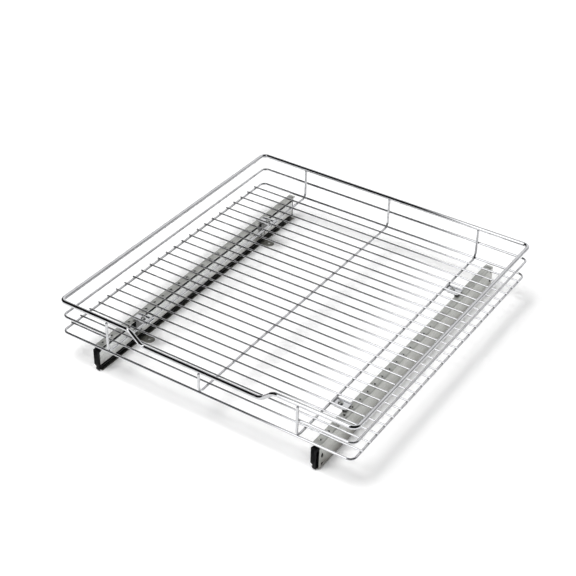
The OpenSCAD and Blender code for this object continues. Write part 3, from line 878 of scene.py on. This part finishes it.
@dataclass
class FrontCaps:
    """The end caps, one moulding used on both slides: a ridged bar, an arm, a notch and a hook. Metres."""

    bar_low: float = 11.0 * MM
    chamfer_low: float = 37.2 * MM
    chamfer_w: float = 2.6 * MM
    top: float = 40.0 * MM
    arm_reach: float = 11.5 * MM
    arm_low: float = 35.6 * MM
    post_w: float = 8.7 * MM
    post_high: float = 33.8 * MM
    foot_x: float = 3.6 * MM
    foot_low: float = 2.2 * MM
    hook_x: float = 2.8 * MM
    hook_low: float = 3.0 * MM
    hook_high: float = 5.4 * MM
    notch_x: float = 5.6 * MM
    notch_low: float = 6.4 * MM
    notch_high: float = 8.0 * MM
    bar_foot_x: float = 3.0 * MM
    bar_foot_z: float = 8.4 * MM
    plate_t: float = 4.0 * MM
    ridge_count: int = 4
    ridge_w: float = 0.8 * MM
    ridge_proud: float = 0.4 * MM
    ridge_sunk: float = 0.2 * MM
    ridge_first: float = 1.7 * MM
    ridge_pitch: float = 1.75 * MM
    ridge_low: float = 12.0 * MM
    ridge_high: float = 36.4 * MM
    ridge_bevel: float = 0.15 * MM
    edge: float = 0.35 * MM
    face_t: float = 1.0 * MM
    plug_fit: float = 1.2 * MM
    plug_bevel: float = 0.4 * MM

    def outline(self, left: float) -> list[tuple[float, float]]:
        """Gives the corners of the face, from the ridged bar by the arm, foot and hook round to the notch.

        Args:
            left: the X of the face's left edge.

        Returns:
            Pairs of X and Z.
        """
        corners = [
            (0.0, self.bar_low), (0.0, self.chamfer_low), (self.chamfer_w, self.top),
            (self.arm_reach, self.top), (self.arm_reach, self.arm_low),
            (self.post_w, self.post_high), (self.post_w, self.foot_low),
            (self.foot_x, self.foot_low), (self.hook_x, self.hook_low), (self.hook_x, self.hook_high),
            (self.notch_x, self.notch_low), (self.notch_x, self.notch_high),
            (self.bar_foot_x, self.bar_foot_z),
        ]
        return [(left + x, z) for x, z in corners]

    def build_cap(self, side: Side, finish_set: FinishSet) -> None:
        """Builds one cap in place of its CAD node.

        Args:
            side: the slide that it closes.
            finish_set: the finishes.
        """
        node = f"{side.name.lower()}_front_cap"
        cap, member = Box(node), Box(f"{side.name.lower()}_inner_member")
        face_y = cap.low.y + self.ridge_proud
        back_y = cap.low.y + self.plate_t
        kit = MeshKit(f"{side.name.lower()}_cap_moulding")
        kit.plate(self.outline(cap.low.x), face_y, back_y, self.edge)
        for step in range(self.ridge_count):
            x = cap.low.x + self.ridge_first + step * self.ridge_pitch
            low = Vector((x - self.ridge_w / 2, cap.low.y, self.ridge_low))
            high = Vector((x + self.ridge_w / 2, face_y + self.ridge_sunk, self.ridge_high))
            kit.bar(low, high, self.ridge_bevel)
        plug = sorted((member.low.x, member.high.x), key=abs)
        inner_x = plug[0] + side.value * self.face_t
        low = Vector((min(inner_x, plug[1]), back_y - self.ridge_sunk, member.low.z + self.plug_fit))
        high = Vector((max(inner_x, plug[1]), cap.high.y, member.high.z - self.plug_fit))
        kit.bar(low, high, self.plug_bevel)
        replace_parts(kit.finish(BASKET_BODY, finish_set, Slot.PLASTIC), node)

    def build(self, finish_set: FinishSet) -> None:
        """Builds both caps.

        Args:
            finish_set: the finishes.
        """
        for side in Side:
            self.build_cap(side, finish_set)


@dataclass
class Studio:
    """The camera, the floor, the lamp, and the room and strip light that the metal mirrors.

    Metres and degrees. Each edge, rise or horizon is a pair of places where a tone starts and ends. They
    are shares of the dome's radius, but the strip's edges are metres.
    """

    effects: Effects
    azimuth: float = 32.678
    elevation: float = 35.0415
    roll: float = 1.2242
    distance: float = 2.05804
    aside: float = -0.02199
    above: float = 0.020771
    aim: tuple[float, float, float] = (0.0, 0.00045, 0.0485)
    focal_px: float = 1341.62
    sensor_mm: float = 36.0
    clip: tuple[float, float] = (0.05, 50.0)
    floor_size: float = 14.0
    floor_white: float = 0.97
    mottle_tone: float = 0.98
    mottle_share: float = 0.3
    mottle_scale: float = 6.0
    mottle_cover: float = 0.5
    floor_rough: float = 0.9
    floor_lift: float = 0.08
    sky: float = 0.17
    sun_power: float = 3.05
    sun_angle: float = 32.0
    sun_from: tuple[float, float, float] = (-0.17, -0.26, 1.0)
    dome_radius: float = 6.0
    dome_rings: int = 24
    dome_steps: int = 72
    dark_tone: float = 0.008
    back_edge: tuple[float, float] = (0.39, 0.54)
    left_edge: tuple[float, float] = (-0.62, -0.54)
    left_rise: tuple[float, float] = (0.26, 0.38)
    right_edge: tuple[float, float] = (0.25, 0.65)
    right_tone: float = 0.35
    strip_tone: float = 2.0
    strip_radius: float = 1.9
    strip_left: tuple[float, float] = (-0.64, -0.56)
    strip_right: tuple[float, float] = (-0.25, -0.19)
    strip_low: float = 5.0
    strip_high: float = 97.0
    strip_steps: int = 24
    horizon: tuple[float, float] = (0.05, 0.11)
    horizon_share: float = 0.15

    def axes(self) -> tuple[Vector, Vector, Vector]:
        """Gives the camera's right, up and back directions."""
        a, e, r = (math.radians(v) for v in (self.azimuth, self.elevation, self.roll))
        back = Vector((math.sin(a) * math.cos(e), -math.cos(a) * math.cos(e), math.sin(e)))
        level = Vector((math.cos(a), math.sin(a), 0.0))
        upright = back.cross(level)
        right = math.cos(r) * level + math.sin(r) * upright
        up = -math.sin(r) * level + math.cos(r) * upright
        return right, up, back

    def build_camera(self) -> None:
        """Makes the camera at the photo's viewing angle."""
        right, up, back = self.axes()
        data = bpy.data.cameras.new("photo_camera")
        data.sensor_width = self.sensor_mm
        data.lens = self.focal_px * self.sensor_mm / IMAGE_PX
        data.clip_start, data.clip_end = self.clip
        camera = bpy.data.objects.new("photo_camera", data)
        bpy.context.scene.collection.objects.link(camera)
        turn = Matrix((right, up, back)).transposed().to_4x4()
        eye = Vector(self.aim) + back * self.distance + right * self.aside + up * self.above
        camera.matrix_world = Matrix.Translation(eye) @ turn
        bpy.context.scene.camera = camera

    @staticmethod
    def seen(graph: Graph) -> bpy.types.NodeSocket:
        """Gives 1 for camera, glossy and transmission rays, and 0 for the rest."""
        path = graph.add("ShaderNodeLightPath")
        either = graph.math("ADD", path.outputs["Is Camera Ray"], path.outputs["Is Glossy Ray"], clamp=True)
        return graph.math("ADD", either, path.outputs["Is Transmission Ray"], clamp=True)

    def build_world(self) -> None:
        """Makes a white world with a softer strength on matt surfaces."""
        world = bpy.data.worlds.new("white_room")
        bpy.context.scene.world = world
        world.use_nodes = True
        graph = Graph(world.node_tree)
        lit = graph.add("ShaderNodeBackground")
        lit.inputs[0].default_value = WHITE
        strength = graph.spread(self.seen(graph), self.sky, 1.0)
        graph.join(strength, lit.inputs[1])
        out = graph.add("ShaderNodeOutputWorld")
        graph.join(lit.outputs[0], out.inputs[0])

    def build_floor(self) -> None:
        """Makes the pale floor, which keeps the object's shadow."""
        half = self.floor_size / 2
        corners = [(-half, -half, 0.0), (half, -half, 0.0), (half, half, 0.0), (-half, half, 0.0)]
        floor = self._stage_mesh("floor", corners, [(0, 1, 2, 3)])
        surface = Surface("pale_floor")
        graph = surface.graph
        paper = surface.use(self.effects.smudge, Scale=self.mottle_scale, Cover=self.mottle_cover)
        mottle = graph.math("MULTIPLY", paper.outputs["Mask"], self.mottle_share)
        clean, shaded = (self.floor_white,) * 3, (self.floor_white * self.mottle_tone,) * 3
        surface.feed("Base Color", graph.blend(mottle, clean, shaded))
        surface.set(Roughness=self.floor_rough, Specular_IOR_Level=0.0, Emission_Color=WHITE)
        surface.feed("Emission Strength", graph.math("MULTIPLY", self.seen(graph), self.floor_lift))
        floor.data.materials.append(surface.material)

    def build_lamp(self) -> None:
        """Makes the soft overhead lamp, a little to the front and to the left."""
        data = bpy.data.lights.new("overhead_sun", "SUN")
        data.angle = math.radians(self.sun_angle)
        data.energy = self.sun_power
        lamp = bpy.data.objects.new("overhead_sun", data)
        lamp.visible_glossy = False
        bpy.context.scene.collection.objects.link(lamp)
        lamp.rotation_mode = "QUATERNION"
        lamp.rotation_quaternion = Vector(self.sun_from).to_track_quat("Z", "Y")

    @staticmethod
    def _stage_mesh(name: str, points: list[tuple[float, float, float]],
                    faces: list[tuple[int, ...]]) -> bpy.types.Object:
        """Makes a piece of the studio.

        Args:
            name: the object's name.
            points: its points.
            faces: its faces, by the points' places in the list.

        Returns:
            The object.
        """
        mesh = bpy.data.meshes.new(name)
        mesh.from_pydata(points, [], faces)
        made = bpy.data.objects.new(name, mesh)
        bpy.context.scene.collection.objects.link(made)
        return made

    @staticmethod
    def _metal_only(card: bpy.types.Object) -> None:
        """Lets only polished metal see a card."""
        card.visible_camera = False
        card.visible_diffuse = False
        card.visible_shadow = False
        card.visible_transmission = False

    def build_dome(self) -> None:
        """Makes the dome that the metal mirrors: a dark room with a white back.

        The back dims to the right and along the horizon, and the low left of it is dark.
        """
        points, faces = [], []
        for ring in range(self.dome_rings + 1):
            lift = math.pi / 2 * ring / self.dome_rings
            reach, height = self.dome_radius * math.cos(lift), self.dome_radius * math.sin(lift)
            for step in range(self.dome_steps):
                turn = math.tau * step / self.dome_steps
                points.append((reach * math.cos(turn), reach * math.sin(turn), height))
        for ring in range(self.dome_rings):
            low = ring * self.dome_steps
            for step in range(self.dome_steps):
                after = (step + 1) % self.dome_steps
                high = low + self.dome_steps
                faces.append((low + step, low + after, high + after, high + step))
        dome = self._stage_mesh("mirrored_room", points, faces)
        self._metal_only(dome)
        surface = Surface("mirrored_room")
        graph = surface.graph
        split = graph.add("ShaderNodeSeparateXYZ")
        graph.join(surface.place, split.inputs[0])
        x, y, z = (graph.math("DIVIDE", split.outputs[axis], self.dome_radius) for axis in range(3))
        clear = graph.math("MAXIMUM", graph.spread(x, 0.0, 1.0, *self.left_edge),
                           graph.spread(z, 0.0, 1.0, *self.left_rise))
        back = graph.math("MULTIPLY", graph.spread(y, 0.0, 1.0, *self.back_edge), clear)
        back = graph.math("MULTIPLY", back, graph.spread(x, 1.0, self.right_tone, *self.right_edge))
        tone = graph.math("MULTIPLY", back, graph.spread(z, self.horizon_share, 1.0, *self.horizon))
        surface.glow(graph.math("MAXIMUM", tone, self.dark_tone))
        dome.data.materials.append(surface.material)

    def build_strip(self) -> None:
        """Makes the strip light at the front left, which bends over the object, for the metal alone."""
        points = []
        bend = self.strip_high - self.strip_low
        for step in range(self.strip_steps + 1):
            turn = math.radians(self.strip_low + bend * step / self.strip_steps)
            for x in (self.strip_left[0], self.strip_right[1]):
                reach = math.sqrt(self.strip_radius ** 2 - x ** 2)
                points.append((x, -reach * math.cos(turn), reach * math.sin(turn)))
        faces = [(2 * step, 2 * step + 1, 2 * step + 3, 2 * step + 2) for step in range(self.strip_steps)]
        strip = self._stage_mesh("strip_light", points, faces)
        self._metal_only(strip)
        surface = Surface("strip_light")
        graph = surface.graph
        split = graph.add("ShaderNodeSeparateXYZ")
        graph.join(surface.place, split.inputs[0])
        tone = graph.math("MULTIPLY", graph.spread(split.outputs["X"], 0.0, 1.0, *self.strip_left),
                          graph.spread(split.outputs["X"], self.strip_tone, 0.0, *self.strip_right))
        surface.glow(graph.math("MAXIMUM", tone, self.dark_tone))
        strip.data.materials.append(surface.material)

    def build(self) -> None:
        """Builds the whole studio."""
        bpy.context.scene.view_settings.view_transform = "Standard"
        self.build_camera()
        self.build_world()
        self.build_floor()
        self.build_lamp()
        self.build_dome()
        self.build_strip()
        LOG.info("studio built")


def main() -> None:
    """Dresses the frame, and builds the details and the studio."""
    logging.basicConfig(level=logging.INFO, format="%(name)s: %(message)s")
    effects = Effects()
    finish_set = FinishSet(effects)
    finish_set.dress_cad()
    WeldedBasket().build(finish_set)
    ClampScrews().build(finish_set)
    FrontCaps().build(finish_set)
    Studio(effects).build()


if __name__ == "__main__":
    main()
